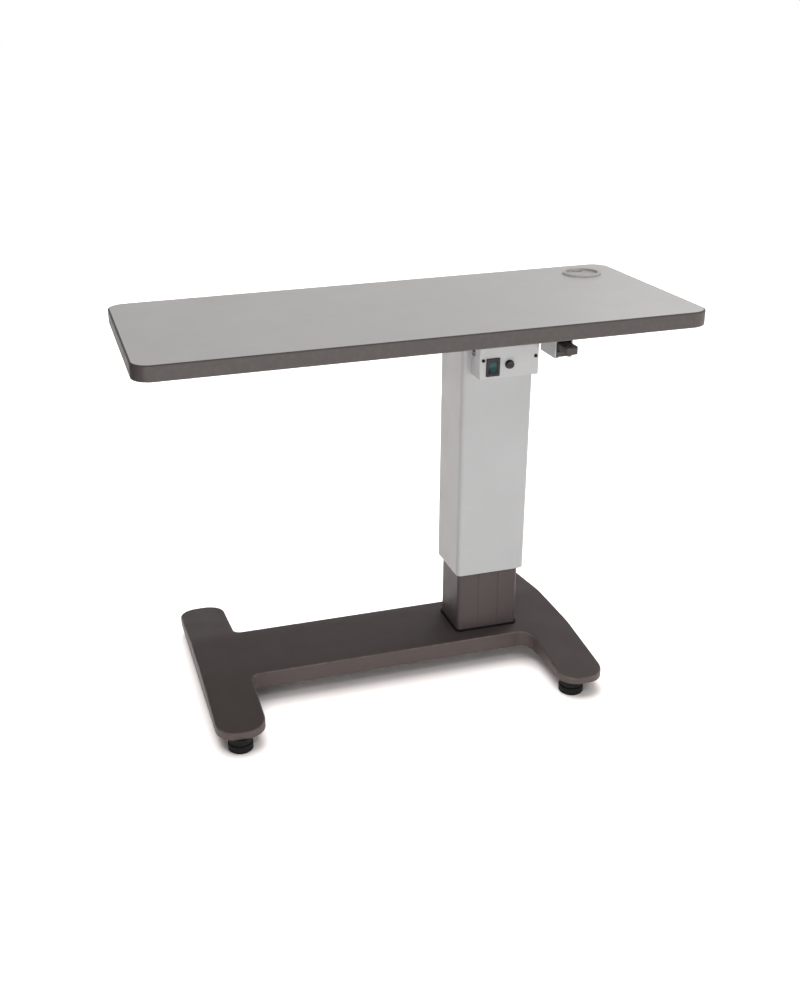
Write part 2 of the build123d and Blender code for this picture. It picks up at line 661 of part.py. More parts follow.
def gearbox_cover():
    """Lid of the gearbox, with the eye that hangs on the upper pin."""
    lid = Pos(0, 0, GEARBOX_SPLIT) * extrude(gearbox_outline(3.5), GEARBOX_TOP - GEARBOX_SPLIT)
    lid -= rod(JOURNAL_RADIUS - 2 + RUN, (GEARBOX_SPLIT, GEARBOX_TOP - 2), SPINDLE_X)
    lid -= rod(3.5, (GEARBOX_SPLIT, GEARBOX_TOP), MOTOR_X)
    return lid + clevis_eye(UPPER_PIN_Z, GEARBOX_TOP, 8)


def spindle_bearing():
    ring = rod(BEARING_OUT, BEARING_Z, SPINDLE_X)
    return ring - rod(JOURNAL_RADIUS + RUN, BEARING_Z, SPINDLE_X)


def spindle():
    """Trapezoidal-thread spindle with its bearing journals."""
    shaft = rod(SPINDLE_RADIUS, (SPINDLE_BOTTOM, BEARING_Z[0] - 0.2), SPINDLE_X)
    shaft += rod(JOURNAL_RADIUS, (BEARING_Z[0] - 0.2, GEAR_Z[1]), SPINDLE_X)
    shaft += rod(JOURNAL_RADIUS - 2, (GEAR_Z[1], GEARBOX_TOP - 2.5), SPINDLE_X)
    return chamfer(shaft.edges().sort_by(Axis.Z)[0], 1.5)


PRESSURE_ANGLE = math.radians(20)


def involute(angle):
    return math.tan(angle) - angle


def spur_gear(teeth, x, z, start):
    """Spur gear about x, 0 with the middle of one tooth at the angle start, in radians."""
    pitch = GEAR_MODULE * teeth / 2
    base = pitch * math.cos(PRESSURE_ANGLE)
    tip = pitch + 0.9 * GEAR_MODULE
    root = pitch - 1.2 * GEAR_MODULE
    half_pitch_tooth = math.pi / (2 * teeth) - GEAR_BACKLASH / (4 * pitch)
    flank = []
    for radius in (max(base, root + 0.2), pitch, tip):
        turn = involute(math.acos(min(1.0, base / radius)))
        flank.append((radius, half_pitch_tooth + involute(PRESSURE_ANGLE) - turn))
    root_half = min(flank[0][1] + 0.15 / pitch, math.pi / teeth - 0.2 / pitch)
    half_tooth = [(root, root_half)] + flank
    points = []
    for i in range(teeth):
        middle = start + 2 * math.pi * i / teeth
        for radius, half in half_tooth:
            points.append((radius * math.cos(middle - half), radius * math.sin(middle - half)))
        for radius, half in reversed(half_tooth):
            points.append((radius * math.cos(middle + half), radius * math.sin(middle + half)))
    blank = extrude(Polygon(*points, align=None), z[1] - z[0])
    return Pos(x, 0, z[0]) * blank


def spindle_gear():
    gear = spur_gear(GEAR_TEETH, SPINDLE_X, GEAR_Z, 0)
    return gear - rod(JOURNAL_RADIUS, GEAR_Z, SPINDLE_X)


def motor_pinion():
    """Pinion on the motor's shaft; its teeth meet the gaps of the spindle gear."""
    pinion = spur_gear(PINION_TEETH, MOTOR_X, GEAR_Z, 0)
    return pinion + rod(2.5, (BEARING_Z[1] - 2.5, GEARBOX_TOP + 12), MOTOR_X)


def motor_housing():
    can = rod(MOTOR_RADIUS, (GEARBOX_TOP, MOTOR_TOP), MOTOR_X)
    can = fillet(can.edges().sort_by(Axis.Z)[-1], 2)
    return can - rod(2.5 + RUN, (GEARBOX_TOP, GEARBOX_TOP + 13), MOTOR_X)


def motor_end_cap():
    """Brush cap of the motor with its two terminals."""
    cap = rod(15, (MOTOR_TOP, MOTOR_TOP + 4), MOTOR_X)
    for y in (-9.0, 9.0):
        cap += block((MOTOR_X - 0.4, MOTOR_X + 0.4), (y - 3, y + 3), (MOTOR_TOP + 4, MOTOR_TOP + 9))
    return cap


# ---- switch panel in front of the column ----
PANEL_X = (105.5, 208.0)
PANEL_Z = (544.0, PLATE_UNDER)
PANEL_SCREWS = [(111.5, 575.0), (201.8, 575.0)]
SWITCH_X = 128.2
SWITCH_Z = 562.8
SWITCH_BEZEL = (23.2, 30.0)
SWITCH_CUT = (21.0, 27.5)
FUSE_X = 156.5
FUSE_Z = 565.4
NOTCH_Y = -68.0
NOTCH_Z = 577.0


def switch_panel():
    """Folded cover: front face, two cheeks and a floor."""
    back = OUTER_FRONT
    panel = block(PANEL_X, (PANEL_FRONT, back), PANEL_Z)
    panel = fillet(panel.edges().filter_by(Axis.Z).group_by(Axis.Y)[0], 2.2)
    inside = (PANEL_X[0] + SHEET, PANEL_X[1] - SHEET)
    panel -= block(inside, (PANEL_FRONT + SHEET, back), (PANEL_Z[0] + SHEET, PANEL_Z[1]))
    panel -= block((PANEL_X[0], PANEL_X[0] + SHEET), (NOTCH_Y, back), (NOTCH_Z, PANEL_Z[1]))
    front = (PANEL_FRONT - 1, PANEL_FRONT + SHEET)
    half_w, half_h = SWITCH_CUT[0] / 2, SWITCH_CUT[1] / 2
    panel -= facing_block(SWITCH_X, SWITCH_Z, half_w, half_h, front)
    panel -= rod_y(6 + RUN, front, FUSE_X, FUSE_Z)
    for x, z in PANEL_SCREWS:
        panel -= rod_y(1.7, front, x, z)
    return panel


def switch_bracket():
    """Bracket on the column that the panel is screwed to."""
    back = (OUTER_FRONT - SHEET, OUTER_FRONT)
    left = (PANEL_X[0] + SHEET, PANEL_X[0] + 2 * SHEET)
    right = (PANEL_X[1] - 2 * SHEET, PANEL_X[1] - SHEET)
    height = (PANEL_SCREWS[0][1] - 8, PANEL_SCREWS[0][1] + 8)
    bracket = block((left[0], right[1]), back, (552.0, PLATE_UNDER))
    front = PANEL_FRONT + SHEET
    ears = ((left, (left[0], left[0] + 9)), (right, (right[1] - 9, right[1])))
    for (cheek, ear), (x, z) in zip(ears, PANEL_SCREWS):
        bracket += block(cheek, (front, back[1]), height)
        bracket += block(ear, (front, front + SHEET), height)
        bracket -= rod_y(1.5 + RUN, (front, front + SHEET), x, z)
    return bracket


def panel_screw(x, z):
    """Black pan-head screw with a cross slot."""
    seat = PANEL_FRONT
    head = rod_y(2.8, (seat - 1.8, seat), x, z)
    head = fillet(head.edges().sort_by(Axis.Y)[0], 0.9)
    head -= block((x - 1.5, x + 1.5), (seat - 1.8, seat - 0.8), (z - 0.35, z + 0.35))
    head -= block((x - 0.35, x + 0.35), (seat - 1.8, seat - 0.8), (z - 1.5, z + 1.5))
    return head + rod_y(1.5, (seat, seat + 7), x, z)


def switch_panel_screws():
    return group([panel_screw(x, z) for x, z in PANEL_SCREWS])


ROCKER_HALF = (7.4, 10.6)
ROCKER_PIVOT_Y = PANEL_FRONT + 1.0
ROCKER_REST = -10.0  # tilt of the key, in degrees, in its off position


def rocker_switch_body():
    """Black bezel and body of the mains switch, with its two terminals."""
    width, height = SWITCH_BEZEL
    face = (PANEL_FRONT - 2.4, PANEL_FRONT)
    bezel = facing_block(SWITCH_X, SWITCH_Z, width / 2, height / 2, face)
    bezel = fillet(bezel.edges().filter_by(Axis.Y), 1.5)
    bezel = chamfer(bezel.faces().sort_by(Axis.Y)[0].edges(), 0.8)
    half_w, half_h = SWITCH_CUT[0] / 2 - 0.1, SWITCH_CUT[1] / 2 - 0.1
    depth = (PANEL_FRONT, PANEL_FRONT + 20)
    body = bezel + facing_block(SWITCH_X, SWITCH_Z, half_w, half_h, depth)
    well_w, well_h = ROCKER_HALF[0] + 0.3, ROCKER_HALF[1] + 0.5
    well = (PANEL_FRONT - 3, PANEL_FRONT + 10)
    body -= facing_block(SWITCH_X, SWITCH_Z, well_w, well_h, well)
    for z in (SWITCH_Z - 8, SWITCH_Z + 8):
        body += facing_block(SWITCH_X, z, 2.4, 0.4, (depth[1], depth[1] + 8))
    pivot = (SWITCH_X - well_w - 1.5, SWITCH_X + well_w + 1.5)
    return body - rod_x(1.5 + RUN, pivot, ROCKER_PIVOT_Y, SWITCH_Z)


def rocker():
    """Seesaw key: two flat halves that meet in a shallow valley, on a cross pin."""
    half_w, half_h = ROCKER_HALF
    front = PANEL_FRONT - 3.2
    rear = PANEL_FRONT + 3.0
    side = [
        (ROCKER_PIVOT_Y + 4.5, 0),
        (rear, half_h - 2.2),
        (front + 1.2, half_h),
        (front, half_h - 0.6),
        (front + 1.6, 0),
        (front, -half_h + 0.6),
        (front + 1.2, -half_h),
        (rear, -half_h + 2.2),
    ]
    outline = Polygon(*[(y - ROCKER_PIVOT_Y, z) for y, z in side], align=None)
    key = extrude(Plane.YZ * outline, half_w, both=True)
    key = fillet(key.edges().filter_by(Axis.X).group_by(Axis.Y)[0], 0.5)
    key += rod_x(1.5, (-half_w - 1.5, half_w + 1.5), 0, 0)
    return Pos(SWITCH_X, ROCKER_PIVOT_Y, SWITCH_Z) * Rot(ROCKER_REST, 0, 0) * key


FUSE_CAP_RADIUS = 6.4
FUSE_BORE = 4.2


def fuse_holder():
    """Panel fuse holder: flange, threaded barrel, nut and rear terminal."""
    back = PANEL_FRONT + SHEET
    holder = rod_y(7.4, (PANEL_FRONT - 1.2, PANEL_FRONT), FUSE_X, FUSE_Z)
    holder += rod_y(6, (PANEL_FRONT, PANEL_FRONT + 30), FUSE_X, FUSE_Z)
    nut = extrude(RegularPolygon(8, 6, major_radius=False), 3)
    holder += Pos(FUSE_X, back + 3, FUSE_Z) * Rot(90, 0, 0) * nut
    holder += facing_block(FUSE_X, FUSE_Z, 0.4, 2.4, (PANEL_FRONT + 30, PANEL_FRONT + 35))
    return holder - rod_y(FUSE_BORE, (PANEL_FRONT - 1.2, PANEL_FRONT + 27), FUSE_X, FUSE_Z)


def fuse_cap():
    """Ribbed screw cap with a coin slot."""
    face = PANEL_FRONT - 1.3
    tip = face - 5.0
    cap = rod_y(FUSE_CAP_RADIUS, (tip, face), FUSE_X, FUSE_Z)
    cap = fillet(cap.edges().sort_by(Axis.Y)[0], 1.4)
    cap -= block((FUSE_X - 4.5, FUSE_X + 4.5), (tip, tip + 1.4), (FUSE_Z - 0.7, FUSE_Z + 0.7))
    ribs = 18
    for i in range(ribs):
        angle = 2 * math.pi * i / ribs
        x = FUSE_X + FUSE_CAP_RADIUS * math.cos(angle)
        z = FUSE_Z + FUSE_CAP_RADIUS * math.sin(angle)
        cap -= rod_y(0.45, (tip + 2.2, face), x, z)
    skirt = rod_y(FUSE_BORE - RUN, (face, PANEL_FRONT + 6), FUSE_X, FUSE_Z)
    return cap + skirt - rod_y(2.65, (face - 2.2, PANEL_FRONT + 6), FUSE_X, FUSE_Z)


def fuse():
    """Five by twenty millimetre cartridge fuse."""
    return rod_y(2.6, (PANEL_FRONT - 3.4, PANEL_FRONT + 16.6), FUSE_X, FUSE_Z)


def control_board():
    """Circuit board with two relays, a terminal block and four standoffs."""
    back = OUTER_FRONT - SHEET
    board = block((142.0, 198.0), (back - 5.6, back - 4), (580.0, 617.0))
    for x in (145.0, 195.0):
        for z in (583.0, 614.0):
            board += rod_y(2.5, (back - 4, back), x, z)
    for x in (146.0, 163.0):
        board += block((x, x + 15), (back - 21, back - 5.6), (586.0, 605.0))
    return board + block((180.0, 192.0), (back - 15, back - 5.6), (586.0, 611.0))


# ---- mains inlet in the rear cover ----
INLET_PINS = [(COLUMN_X - 7, INLET_Z - 2), (COLUMN_X + 7, INLET_Z - 2), (COLUMN_X, INLET_Z + 2)]


def mains_inlet():
    """Three-pole appliance inlet: flange, body and socket well."""
    back = OUTER_DEPTH / 2
    flange = facing_block(COLUMN_X, INLET_Z, 15.5, 12, (back, back + 2.5))
    flange = fillet(flange.edges().filter_by(Axis.Y), 2)
    half_w, half_h = INLET_CUT[0] / 2 - 0.1, INLET_CUT[1] / 2 - 0.1
    body = facing_block(COLUMN_X, INLET_Z, half_w, half_h, (back - 20, back))
    well = facing_block(COLUMN_X, INLET_Z, 12.1, 8.2, (back - 14.5, back + 2.5))
    upper = well.edges().filter_by(Axis.Y).group_by(Axis.Z)[-1]
    well = chamfer(upper, 4.5)
    inlet = flange + body - well
    for x, height in INLET_PINS:
        inlet -= facing_block(x, height, 1, 2, (back - 26, back - 14))
    return inlet


def mains_inlet_pins():
    back = OUTER_DEPTH / 2
    pins = []
    for x, z in INLET_PINS:
        pin = facing_block(x, z, 1, 2, (back - 26, back - 1.5))
        pins.append(chamfer(pin.faces().sort_by(Axis.Y)[-1].edges(), 0.5))
    return group(pins)


# ---- up and down lever under the table top ----
LEVER_Z = (586.0, TOP_UNDER)
PIVOT_Y = -132.0
PIVOT_Z = 605.0
PIVOT_RADIUS = 2.0
HOUSING_X = (LEVER_X[0] + SHEET, LEVER_X[1] - SHEET)
HOUSING_Y = (LEVER_Y[0], -106.0)
HOUSING_Z = (LEVER_Z[0] + SHEET, 619.0)
CAVITY_WALL = 1.8
TONGUE_REACH = 178.0
TONGUE_THICK = 12.0


def lever_bracket():
    """Folded U bracket under the table top, with turned-in lips below."""
    bracket = block(LEVER_X, LEVER_Y, LEVER_Z)
    bracket -= block(HOUSING_X, LEVER_Y, (LEVER_Z[0] + SHEET, LEVER_Z[1] - SHEET))
    lips = (HOUSING_X[0] + 5, HOUSING_X[1] - 5)
    bracket -= block(lips, LEVER_Y, (LEVER_Z[0], LEVER_Z[0] + SHEET))
    for x, y in LEVER_SCREWS:
        bracket -= rod(2.8, (LEVER_Z[1] - SHEET, LEVER_Z[1]), x, y)
    return bracket


def lever_bracket_screws():
    return group([wood_screw(x, y, TOP_UNDER - SHEET) for x, y in LEVER_SCREWS])


def lever_cavity():
    x = (HOUSING_X[0] + CAVITY_WALL, HOUSING_X[1] - CAVITY_WALL)
    y = (HOUSING_Y[0] + CAVITY_WALL, HOUSING_Y[1] - CAVITY_WALL)
    return x, y, (HOUSING_Z[0] + CAVITY_WALL, HOUSING_Z[1] - CAVITY_WALL)


def lever_housing():
    housing = block(HOUSING_X, HOUSING_Y, HOUSING_Z)
    housing = fillet(housing.faces().sort_by(Axis.Y)[0].edges(), 1.0)
    x, y, z = lever_cavity()
    housing -= block(x, y, z)
    housing -= block(x, (HOUSING_Y[0] - 1, y[0]), (PIVOT_Z - 9.5, PIVOT_Z + 9.5))
    return housing - rod_x(PIVOT_RADIUS, HOUSING_X, PIVOT_Y, PIVOT_Z)


def lever_pivot_pin():
    return rod_x(PIVOT_RADIUS, HOUSING_X, PIVOT_Y, PIVOT_Z)


def lever_paddle():
    """Finger paddle: rounded tongue in front, hub on the pin, short tail behind."""
    x = (HOUSING_X[0] + CAVITY_WALL + 0.4, HOUSING_X[1] - CAVITY_WALL - 0.4)
    half = TONGUE_THICK / 2
    tongue = block(x, (-TONGUE_REACH, PIVOT_Y), (PIVOT_Z - half, PIVOT_Z + half))
    tongue = fillet(tongue.edges().filter_by(Axis.Z).group_by(Axis.Y)[0], 7)
    tongue = fillet(tongue.faces().sort_by(Axis.Z)[-1].edges().filter_by(GeomType.LINE), 2.5)
    hub = rod_x(half + 0.8, x, PIVOT_Y, PIVOT_Z)
    tail = block((x[0] + 4, x[1] - 4), (PIVOT_Y, PIVOT_Y + 14), (PIVOT_Z - 4, PIVOT_Z + 4))
    return tongue + hub + tail - rod_x(PIVOT_RADIUS + RUN, x, PIVOT_Y, PIVOT_Z)


SWITCH_GAP = 6.9  # from the paddle's middle plane to the face of each microswitch
PLUNGER = 1.0


def lever_microswitches():
    """One switch above the tail for down, one below it for up, plungers shown pressed in."""
    x, y, z = lever_cavity()
    middle = (x[0] + x[1]) / 2
    switches = []
    for side, wall in ((-1, z[0]), (1, z[1])):
        face = PIVOT_Z + side * SWITCH_GAP
        body = block((x[0] + 2, x[1] - 2), (y[1] - 15, y[1] - 1), sorted((face, wall)))
        tip = sorted((face, face - side * PLUNGER))
        plunger = block((middle - 1.5, middle + 1.5), (y[1] - 14, y[1] - 11.5), tip)
        switches.append(body + plunger)
    return group(switches)


# ---- every node ----
def nodes():
    made = {
        "table_top_core": table_top_core(),
        "top_laminate": top_laminate(),
        "backing_laminate": backing_laminate(),
        "edge_band": edge_band(),
        "grommet_sleeve": grommet_sleeve(),
        "grommet_cap": grommet_cap(),
        "head_plate": head_plate(),
        "head_plate_screws": head_plate_screws(),
        "column_front_shell": column_front_shell(),
        "column_rear_cover": column_rear_cover(),
        "column_cover_screws": column_cover_screws(),
        "head_plate_bolts": head_plate_bolts(),
        "lower_glide_frame": lower_glide_frame(),
        "upper_glide_pads": upper_glide_pads(),
        "inner_column": inner_column(),
        "column_foot_plate": column_foot_plate(),
        "column_gasket": column_gasket(),
        "column_bolts": column_bolts(),
        "base_casting": base_casting(),
        "lower_clevis": lower_clevis(),
        "lower_clevis_pin": clevis_pin(LOWER_PIN_Z),
        "upper_clevis": upper_clevis(),
        "upper_clevis_pin": clevis_pin(UPPER_PIN_Z),
        "push_tube": push_tube(),
        "spindle_nut": spindle_nut(),
        "actuator_tube": actuator_tube(),
        "tube_guide_bush": tube_guide_bush(),
        "gearbox_housing": gearbox_housing(),
        "gearbox_cover": gearbox_cover(),
        "spindle_bearing": spindle_bearing(),
        "spindle": spindle(),
        "spindle_gear": spindle_gear(),
        "motor_pinion": motor_pinion(),
        "motor_housing": motor_housing(),
        "motor_end_cap": motor_end_cap(),
        "switch_panel": switch_panel(),
        "switch_bracket": switch_bracket(),
        "switch_panel_screws": switch_panel_screws(),
        "rocker_switch_body": rocker_switch_body(),
        "rocker": rocker(),
        "fuse_holder": fuse_holder(),
        "fuse_cap": fuse_cap(),
        "fuse": fuse(),
        "control_board": control_board(),
        "mains_inlet": mains_inlet(),
        "mains_inlet_pins": mains_inlet_pins(),
        "lever_bracket": lever_bracket(),
        "lever_bracket_screws": lever_bracket_screws(),
        "lever_housing": lever_housing(),
        "lever_pivot_pin": lever_pivot_pin(),
        "lever_paddle": lever_paddle(),
        "lever_microswitches": lever_microswitches(),
    }
    for side, x in zip(("left", "right"), FOOT_X):
        for end, y in (("front", -FOOT_Y), ("rear", FOOT_Y)):
            made[f"foot_pad_{end}_{side}"] = foot_pad(x, y)
            made[f"foot_stud_{end}_{side}"] = foot_stud(x, y)
    return made


os.makedirs("parts", exist_ok=True)
for name, shape in nodes().items():
    export_step(shape, f"parts/{name}.step")
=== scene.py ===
import json
import math
import bpy
from mathutils import Matrix, Vector

# The motorised table in a white studio. Everything is in metres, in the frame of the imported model.

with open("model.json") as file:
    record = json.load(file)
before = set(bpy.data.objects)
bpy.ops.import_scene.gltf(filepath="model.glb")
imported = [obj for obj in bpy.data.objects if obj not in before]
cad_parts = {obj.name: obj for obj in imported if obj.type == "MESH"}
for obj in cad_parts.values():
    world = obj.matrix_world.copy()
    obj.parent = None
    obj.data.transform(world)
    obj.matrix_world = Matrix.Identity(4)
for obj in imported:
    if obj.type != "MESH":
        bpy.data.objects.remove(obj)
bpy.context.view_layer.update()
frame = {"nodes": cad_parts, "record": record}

MM = 0.001
WHITE = (1, 1, 1, 1)

# A noise texture lies between these almost everywhere.
NOISE_LOW, NOISE_HIGH = 0.3, 0.7

# The sockets of a Mix node that carry its share and, for colours, its inputs and its result.
MIX_SHARE, MIX_FIRST, MIX_SECOND, MIX_RESULT = 0, 6, 7, 2

# Camera in front of the table, to its left and above it. The angles are in degrees, with yaw to the right
# and pitch downwards. The lens is in millimetres and the shift in shares of the picture's longer side.
CAMERA_PLACE = (-0.58154, -1.74757, 1.11835)
CAMERA_YAW = 14.461
CAMERA_PITCH = 23.780
CAMERA_ROLL = -1.416
CAMERA_LENS = 41.71
CAMERA_SHIFT = (0.0742, 0.0031)

# The floor begins to glow at FADE_START from its middle, and from FADE_END on it is as white as the walls.
FLOOR_HALF = 30.0
FADE_START = 1.5
FADE_END = 5.0
FADE_GLOW = 0.7

# Black card to the left of the table, out of the picture.
FLAG_X = -1.15
FLAG_FRONT = -1.1
FLAG_BACK = 1.5
FLAG_HEIGHT = 1.2

# The walls are white up to WALL_TOP and fade until CEILING_START. Both are elevations in degrees.
WALL_TOP = 4
CEILING_START = 25
CEILING_STRENGTH = 0.42


# ---- colours, in linear light ----
def srgb(red, green, blue):
    """Linear colour with alpha from the values 0 to 255 that a paint chart gives."""
    channels = []
    for value in (red, green, blue):
        level = value / 255
        channels.append(level / 12.92 if level <= 0.04045 else ((level + 0.055) / 1.055) ** 2.4)
    return (*channels, 1.0)


def tint(colour, factor):
    """The same colour, lighter or darker by factor."""
    return (*[channel * factor for channel in colour[:3]], 1.0)


# ---- node building ----
class Nodes:
    """One material's node tree, with short calls for the nodes used here."""

    def __init__(self, name):
        self.material = bpy.data.materials.new(name)
        self.material.use_nodes = True
        self.tree = self.material.node_tree
        self.shader = self.tree.nodes["Principled BSDF"]
        self.place = self.tree.nodes.new("ShaderNodeTexCoord").outputs["Object"]

    def link(self, source, target):
        self.tree.links.new(source, target)

    def feed(self, value, target):
        """Give the socket target a value, which is a constant or another node's output."""
        if isinstance(value, bpy.types.NodeSocket):
            self.link(value, target)
        else:
            target.default_value = value

    def set(self, socket, value):
        self.feed(value, self.shader.inputs[socket])

    def combine(self, kind, first, second):
        """The result of a Math node of that kind."""
        node = self.tree.nodes.new("ShaderNodeMath")
        node.operation = kind
        self.feed(first, node.inputs[0])
        self.feed(second, node.inputs[1])
        return node.outputs["Value"]

    def times(self, first, second):
        return self.combine("MULTIPLY", first, second)

    def mix(self, share, first, second):
        """Colour between first and second."""
        node = self.tree.nodes.new("ShaderNodeMix")
        node.data_type = "RGBA"
        self.feed(share, node.inputs[MIX_SHARE])
        self.feed(first, node.inputs[MIX_FIRST])
        self.feed(second, node.inputs[MIX_SECOND])
        return node.outputs[MIX_RESULT]

    def ranged(self, value, low, high, to_low, to_high):
        """value from low..high spread over to_low..to_high, and held at the ends."""
        node = self.tree.nodes.new("ShaderNodeMapRange")
        self.link(value, node.inputs["Value"])
        node.inputs["From Min"].default_value = low
        node.inputs["From Max"].default_value = high
        node.inputs["To Min"].default_value = to_low
        node.inputs["To Max"].default_value = to_high
        return node.outputs["Result"]

    def spread(self, noise, to_low, to_high):
        """A noise spread over to_low..to_high."""
        return self.ranged(noise, NOISE_LOW, NOISE_HIGH, to_low, to_high)

    def stretched(self, scale):
        """Object coordinates stretched by scale along each axis."""
        node = self.tree.nodes.new("ShaderNodeMapping")
        self.link(self.place, node.inputs["Vector"])
        node.inputs["Scale"].default_value = scale
        return node.outputs["Vector"]

    def noise(self, size, detail=2.0, roughness=0.5, stretch=None):
        """Noise from 0 to 1 whose spots are about size metres across."""
        node = self.tree.nodes.new("ShaderNodeTexNoise")
        self.link(self.stretched(stretch) if stretch else self.place, node.inputs["Vector"])
        node.inputs["Scale"].default_value = 1 / size
        node.inputs["Detail"].default_value = detail
        node.inputs["Roughness"].default_value = roughness
        return node.outputs["Fac"]

    def cells(self, size, feature="F1", stretch=None):
        """Voronoi pattern with cells about size metres across: its distance and colour outputs."""
        node = self.tree.nodes.new("ShaderNodeTexVoronoi")
        node.feature = feature
        self.link(self.stretched(stretch) if stretch else self.place, node.inputs["Vector"])
        node.inputs["Scale"].default_value = 1 / size
        return node.outputs

    def outside_middle(self, inner, outer):
        """0 within inner of the middle of the node's front, 1 beyond outer, as shares of its size."""
        coordinates = self.tree.nodes.new("ShaderNodeTexCoord")
        offset = self.tree.nodes.new("ShaderNodeVectorMath")
        offset.operation = "SUBTRACT"
        self.link(coordinates.outputs["Generated"], offset.inputs[0])
        offset.inputs[1].default_value = (0.5, 0.5, 0.5)
        parts = self.tree.nodes.new("ShaderNodeSeparateXYZ")
        self.link(offset.outputs["Vector"], parts.inputs[0])
        across = self.times(parts.outputs["X"], parts.outputs["X"])
        upward = self.times(parts.outputs["Z"], parts.outputs["Z"])
        distance = self.combine("POWER", self.combine("ADD", across, upward), 0.5)
        return self.ranged(distance, inner, outer, 0, 1)

    def edges(self, radius):
        """1 within about radius of a sharp edge, 0 on flat faces."""
        bevel = self.tree.nodes.new("ShaderNodeBevel")
        bevel.samples = 4
        bevel.inputs["Radius"].default_value = radius
        geometry = self.tree.nodes.new("ShaderNodeNewGeometry")
        dot = self.tree.nodes.new("ShaderNodeVectorMath")
        dot.operation = "DOT_PRODUCT"
        self.link(bevel.outputs["Normal"], dot.inputs[0])
        self.link(geometry.outputs["Normal"], dot.inputs[1])
        flat, sharp = 0.995, 0.8
        return self.ranged(dot.outputs["Value"], flat, sharp, 0, 1)

    def painted_highlight_rim(self):
        """1 on a rounded upper edge, whose normals lie between up and level: where the painted highlight
        goes.
        """
        geometry = self.tree.nodes.new("ShaderNodeNewGeometry")
        parts = self.tree.nodes.new("ShaderNodeSeparateXYZ")
        self.link(geometry.outputs["Normal"], parts.inputs[0])
        level, low_slope, high_slope, upward = 0.15, 0.5, 0.8, 0.97
        off_side = self.ranged(parts.outputs["Z"], level, low_slope, 0, 1)
        off_top = self.ranged(parts.outputs["Z"], high_slope, upward, 1, 0)
        return self.times(off_side, off_top)

    def bump(self, height, depth, strength=1.0):
        """Bump the shader by height, which is depth metres at 1."""
        node = self.tree.nodes.new("ShaderNodeBump")
        self.link(height, node.inputs["Height"])
        node.inputs["Distance"].default_value = depth
        node.inputs["Strength"].default_value = strength
        self.link(node.outputs["Normal"], self.shader.inputs["Normal"])


# ---- materials ----
def powder_coat(name, colour, gloss, peel=1.1 * MM, wear_and_highlight_tint=1.25, shine=0.5, rounded=False):
    """Baked powder paint: orange-peel skin, faint cloudiness and lighter edges. Sharp edges are worn;
    where rounded is set, a painted highlight runs along the rounded upper edges instead.
    """
    n = Nodes(name)
    cloud = n.spread(n.noise(90 * MM, 3), 0, 1)
    fleck = n.ranged(n.noise(0.5 * MM, 2), 0.35, 0.65, 0, 1)
    base = n.mix(cloud, tint(colour, 0.97), tint(colour, 1.03))
    base = n.mix(n.times(fleck, 0.25), base, tint(colour, 1.12))
    # Lighter edges are worn paint at sharp edges. Where rounded is set they are instead a painted
    # highlight on rounded upper edges, made patchy by noise.
    rim = n.painted_highlight_rim() if rounded else n.edges(1.2 * MM)
    worn_and_highlight_share = n.times(rim, n.ranged(n.noise(14 * MM, 4), 0.4, 0.65, 0.4, 0.9))
    n.set("Base Color", n.mix(worn_and_highlight_share, base, tint(colour, wear_and_highlight_tint)))
    n.set("Roughness", n.spread(n.noise(35 * MM, 4), gloss - 0.04, gloss + 0.05))
    n.set("Specular IOR Level", shine)
    n.bump(n.noise(peel, 1.5), 0.03 * MM, 0.6)
    return n.material


def laminate(name, colour):
    """High-pressure laminate: fine two-tone fleck under a satin skin with a pearl texture."""
    n = Nodes(name)
    fleck = n.ranged(n.noise(0.9 * MM, 3, 0.6), 0.38, 0.62, 0, 1)
    dot = n.ranged(n.cells(1.6 * MM)["Distance"], 0.12, 0.3, 1, 0)
    cloud = n.ranged(n.noise(160 * MM, 2), 0.35, 0.65, 0, 1)
    base = n.mix(fleck, tint(colour, 0.94), tint(colour, 1.05))
    base = n.mix(n.times(dot, 0.12), base, tint(colour, 0.7))
    base = n.mix(n.times(cloud, 0.35), base, tint(colour, 1.05))
    n.set("Base Color", base)
    n.set("Roughness", n.spread(n.noise(60 * MM, 5, 0.6), 0.3, 0.4))
    n.bump(n.noise(0.7 * MM, 2), 0.02 * MM, 0.5)
    return n.material


def moulded(name, colour, gloss, grain=0.6 * MM, depth=0.03 * MM):
    """Moulded plastic with spark-eroded grain, and edges that have gone a little shiny and grey."""
    n = Nodes(name)
    dust = n.ranged(n.noise(9 * MM, 4, 0.6), 0.45, 0.75, 0, 0.35)
    base = n.mix(dust, colour, tint(colour, 1.5))
    base = n.mix(n.times(n.edges(0.5 * MM), 0.5), base, tint(colour, 2.2))
    n.set("Base Color", base)
    n.set("Roughness", n.spread(n.noise(6 * MM, 3), gloss - 0.06, gloss + 0.07))
    n.bump(n.noise(grain, 2), depth, 0.6)
    return n.material


def rubber(name, colour):
    """Matt rubber with dust in its skin and scuffed edges."""
    n = Nodes(name)
    dust = n.ranged(n.noise(3 * MM, 5, 0.65), 0.45, 0.8, 0, 0.5)
    base = n.mix(dust, colour, tint(colour, 2.0))
    base = n.mix(n.times(n.edges(0.8 * MM), 0.6), base, tint(colour, 2.4))
    n.set("Base Color", base)
    n.set("Roughness", n.spread(n.noise(5 * MM, 3), 0.62, 0.82))
    n.set("Specular IOR Level", 0.25)
    n.bump(n.noise(0.35 * MM, 3), 0.05 * MM, 0.7)
    return n.material


